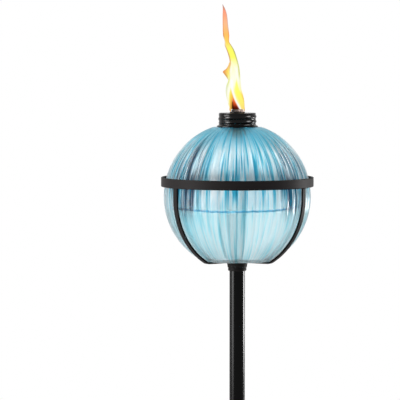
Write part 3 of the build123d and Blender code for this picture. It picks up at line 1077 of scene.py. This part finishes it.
@dataclass
class Flame:
    """The flame, as sheets of burning gas that twist round each other over the wick."""

    steps: int = 200
    segments: int = 84
    roundness: float = 0.85
    sink: float = 0.9 * MM
    foot: float = field(init=False)

    def __post_init__(self) -> None:
        """Stand the flame on the CAD piece's foot."""
        self.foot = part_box("flame")[0].z - self.sink

    def sheet(self, tongue: Tongue, glow: Glow, inner: dict[Tongue, Glow]) -> Piece:
        """Loft one sheet, note on it where each inner sheet shines through, and colour it.

        Args:
            tongue: The outer sheet.
            glow: Its colours.
            inner: Sheets inside it and their colours, the nearest last.

        Returns:
            The finished object.
        """
        bm = bmesh.new()
        layers = {key: bm.verts.layers.float.new(key) for key in ("up", "across")}
        for sheet in inner:
            for key in ("cover", "up", "across"):
                layers[f"{sheet.name}_{key}"] = bm.verts.layers.float.new(f"{sheet.name}_{key}")
        low, high = tongue.stations[0][0], tongue.stations[-1][0]
        loops = []
        for step in range(self.steps + 1):
            height = low + (high - low) * step / self.steps
            left, right = tongue.edges(height)
            middle, half = (left + right) / 2, (right - left) / 2
            ring = []
            for segment in range(self.segments):
                turn = FULL_TURN * segment / self.segments
                x = middle + half * cos(turn)
                place = Vector((x, half * self.roundness * sin(turn), height)) * MM
                vert = bm.verts.new(place + Vector((0, 0, self.foot)))
                vert[layers["up"]] = step / self.steps
                vert[layers["across"]] = cos(turn)
                for sheet in inner:
                    lowest, highest = sheet.stations[0][0], sheet.stations[-1][0]
                    edge_left, edge_right = sheet.edges(min(max(height, lowest), highest))
                    vert[layers[f"{sheet.name}_cover"]] = sheet.cover(height, x, 1.1)
                    vert[layers[f"{sheet.name}_up"]] = (height - lowest) / (highest - lowest)
                    vert[layers[f"{sheet.name}_across"]] = 2 * (x - edge_left) / (edge_right - edge_left) - 1
                ring.append(vert)
            loops.append([bm.edges.new((ring[i - 1], ring[i])) for i in range(self.segments)])
        for lower, upper in zip(loops, loops[1:]):
            bmesh.ops.bridge_loops(bm, edges=lower + upper)
        bmesh.ops.contextual_create(bm, geom=loops[0])
        bmesh.ops.contextual_create(bm, geom=loops[-1])
        bmesh.ops.recalc_face_normals(bm, faces=bm.faces[:])
        piece = make_object(bm, tongue.name, self.material(tongue, glow, inner), 80)
        return fit(piece, Body.WICK, Slot.FLAME)

    def material(self, tongue: Tongue, glow: Glow, inner: dict[Tongue, Glow]) -> Material:
        """Hot gas that gives its own light: each inner sheet is laid over the ones outside it."""
        material, tree, output = material_tree(f"burning_gas_{tongue.name}")
        curl = add_node(
            tree,
            "TexNoise",
            inputs={"Vector": object_place(tree, scale=Vector((1, 1, 0.35))), "Scale": 220.0, "Detail": 2.0},
        ).outputs["Fac"]
        shift = math_node(tree, "SUBTRACT", curl, 0.5)

        def read(name: str, sway: float) -> Socket:
            """One of the piece's own attributes, swayed a little by the gas's curl."""
            value = add_node(tree, "Attribute", {"attribute_name": name}).outputs["Fac"]
            return scaled(tree, shift, sway, value)

        colour = glow.paint(tree, read("up", 0.04), read("across", 0.3))
        for sheet, own in inner.items():
            cover = math_node(tree, "ADD", read(f"{sheet.name}_cover", 0.0), 0.0, clamp=True)
            layer = own.paint(tree, read(f"{sheet.name}_up", 0.1), read(f"{sheet.name}_across", 0.3))
            colour = mix_colour(tree, cover, colour, layer)
        emitter = add_node(tree, "Emission", inputs={"Color": colour, "Strength": 1.0})
        tree.links.new(emitter.outputs[0], output.inputs["Surface"])
        return material

    def build(self) -> None:
        """Make the body of the flame, the tongue that licks out of its side and the licks at its foot."""
        piece = self.sheet(BODY, BODY_GLOW, INNER_SHEETS)
        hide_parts("flame")
        self.sheet(SIDE_TONGUE, SIDE_GLOW, {})
        for lick in LICKS:
            self.sheet(lick, Glow(AMBER, AMBER, AMBER), {})


# ---- the studio


@dataclass(frozen=True)
class Softbox:
    """A rectangular soft light that is aimed at the globe.

    Its turn is in degrees to the right of the front, its lift in degrees above the globe, its power in watts.
    """

    name: str
    turn: float
    lift: float
    size: tuple[float, float]
    power: float
    distance: float = 1.6

    def place(self, target: Vector) -> None:
        """Add the light and aim it at the target; glass lets its shape through unseen."""
        light = bpy.data.lights.new(self.name, "AREA")
        light.shape = "RECTANGLE"
        light.size, light.size_y = self.size
        light.energy = self.power
        lamp = bpy.data.objects.new(self.name, light)
        lamp.visible_transmission = False
        aim(lamp, target, self.turn, self.lift, self.distance)


def aim(holder: Piece, target: Vector, turn: float, lift: float, distance: float) -> None:
    """Stand a light or camera off a target and point it there.

    Args:
        holder: The light's or camera's object.
        target: What it points at.
        turn: Degrees to the right of the front.
        lift: Degrees above the target.
        distance: Metres from the target.
    """
    side, rise = radians(turn), radians(lift)
    out = Vector((sin(side) * cos(rise), -cos(side) * cos(rise), sin(rise)))
    holder.location = target + out * distance
    holder.rotation_euler = (-out).to_track_quat("-Z", "Y").to_euler()
    bpy.context.scene.collection.objects.link(holder)


def seen_directly(tree: Tree) -> Socket:
    """One for what the camera sees, by itself or through metal's sheen or glass, and nought for other light."""
    path = add_node(tree, "LightPath")
    seen = math_node(tree, "MAXIMUM", path.outputs["Is Camera Ray"], path.outputs["Is Glossy Ray"])
    return math_node(tree, "MAXIMUM", seen, path.outputs["Is Transmission Ray"])


@dataclass
class Studio:
    """A pale floor, soft lights and the camera."""

    target: Vector
    width: float = 0.408
    distance: float = 2.7
    azimuth: float = -2.4
    elevation: float = 3.5
    sensor: float = 36.0
    floor_size: float = 40.0
    floor_gap: float = 1 * MM
    softboxes: tuple[Softbox, ...] = (
        Softbox("left_softbox", -74, -5, (1.0, 0.5), 28),
        Softbox("right_softbox", 112, -8.7, (0.5, 0.2), 18),
        Softbox("left_overhead_softbox", -78, 44, (0.5, 0.9), 42),
        Softbox("right_overhead_softbox", 80, 44, (0.5, 0.9), 34),
    )

    def floor(self) -> None:
        """Lay a pale floor just under the spike's point."""
        bm = bmesh.new()
        bmesh.ops.create_grid(bm, x_segments=1, y_segments=1, size=self.floor_size)
        bmesh.ops.translate(bm, verts=bm.verts[:], vec=(0, 0, cad_bounds[0][2] - self.floor_gap))
        material, tree, output = material_tree("studio_floor")
        seen = seen_directly(tree)
        glow = add_node(tree, "Emission", inputs={"Color": WHITE, "Strength": 1.0})
        paint = add_node(tree, "BsdfDiffuse", inputs={"Color": linear("e8e8e8")})
        mixed = add_node(tree, "MixShader", inputs={0: seen, 1: paint.outputs[0], 2: glow.outputs[0]})
        tree.links.new(mixed.outputs[0], output.inputs["Surface"])
        piece = make_object(bm, "studio_floor", material)

    def world(self) -> None:
        """Surround the torch with white that camera, metal and glass see, and a softer light for the rest."""
        world = bpy.data.worlds.new("studio")
        world.use_nodes = True
        tree = world.node_tree
        tree.nodes.clear()
        output = add_node(tree, "OutputWorld")
        strength = scaled(tree, seen_directly(tree), 0.5, 0.5)
        glow = add_node(tree, "Background", inputs={"Color": WHITE, "Strength": strength})
        tree.links.new(glow.outputs[0], output.inputs["Surface"])
        bpy.context.scene.world = world

    def camera(self) -> None:
        """Place a long lens level with the head, a little above it."""
        lens = bpy.data.cameras.new("camera")
        lens.sensor_width = self.sensor
        lens.lens = self.sensor * self.distance / self.width
        lens.clip_end = 100.0
        holder = bpy.data.objects.new("camera", lens)
        aim(holder, self.target, self.azimuth, self.elevation, self.distance)
        bpy.context.scene.camera = holder

    def build(self) -> None:
        """Build the whole studio."""
        self.floor()
        self.world()
        for softbox in self.softboxes:
            softbox.place(self.target)
        self.camera()
        bpy.context.scene.view_settings.view_transform = "Standard"


def dress_cad_pieces(finishes: dict[Slot, Material]) -> None:
    """Give each CAD piece the finish of its slot, where there is one."""
    for name, node in frame["nodes"].items():
        slot = Slot(next(s["material_slot"] for s in frame["record"]["subparts"] if s["node"] == name))
        if slot in finishes:
            node.data.materials.clear()
            node.data.materials.append(finishes[slot])


def main() -> None:
    """Build the torch's pieces and the studio in order."""
    logging.basicConfig(level=logging.INFO)
    pole_black = PaintedSteel("gloss_black_enamel", "030303", 0.18, 0.8, 0.03, 1.16).material()
    cage_black = PaintedSteel("satin_black_powder_coat", "1a1818", 0.5, 0.35, 0.14, 1.12).material()
    cap_black = PaintedSteel("gloss_black_cap_enamel", "030303", 0.2, 0.8, 0.03, 1.22).material()
    rubber = MouldedRubber("black_nitrile_rubber", "0e0e0e", "1e1e1e").material()
    dress_cad_pieces({Slot.POLE: pole_black, Slot.CAGE: cage_black, Slot.CAP: cap_black, Slot.GASKET: rubber})
    Cradle().weld_beads(cage_black)
    globe = Globe()
    centre = Vector((0, 0, globe.centre))
    mid_wall = globe.radius - globe.wall / 2
    globe.glass(RibbedGlass("sky_blue_ribbed_glass", centre, globe.ribs, mid_wall).material())
    globe.oil(LampOil("clear_lamp_oil", "f8ffff", "eefafd", 1.06, 1.0).material())
    # painted line: an opaque blue ring for the line that refraction shows at the oil's edge
    globe.meniscus(LampOil("lamp_oil_rim", "70d4f4", "48b4e0", 1.3, 0.0).material())
    Cap().build(cap_black)
    Wick().build(FibreglassBraid("braided_fibreglass_wick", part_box("wick")[1].z).material())
    Flame().build()
    Studio(target=Vector((-0.0381, 0, globe.centre - 0.0037))).build()


if __name__ == "__main__":
    main()
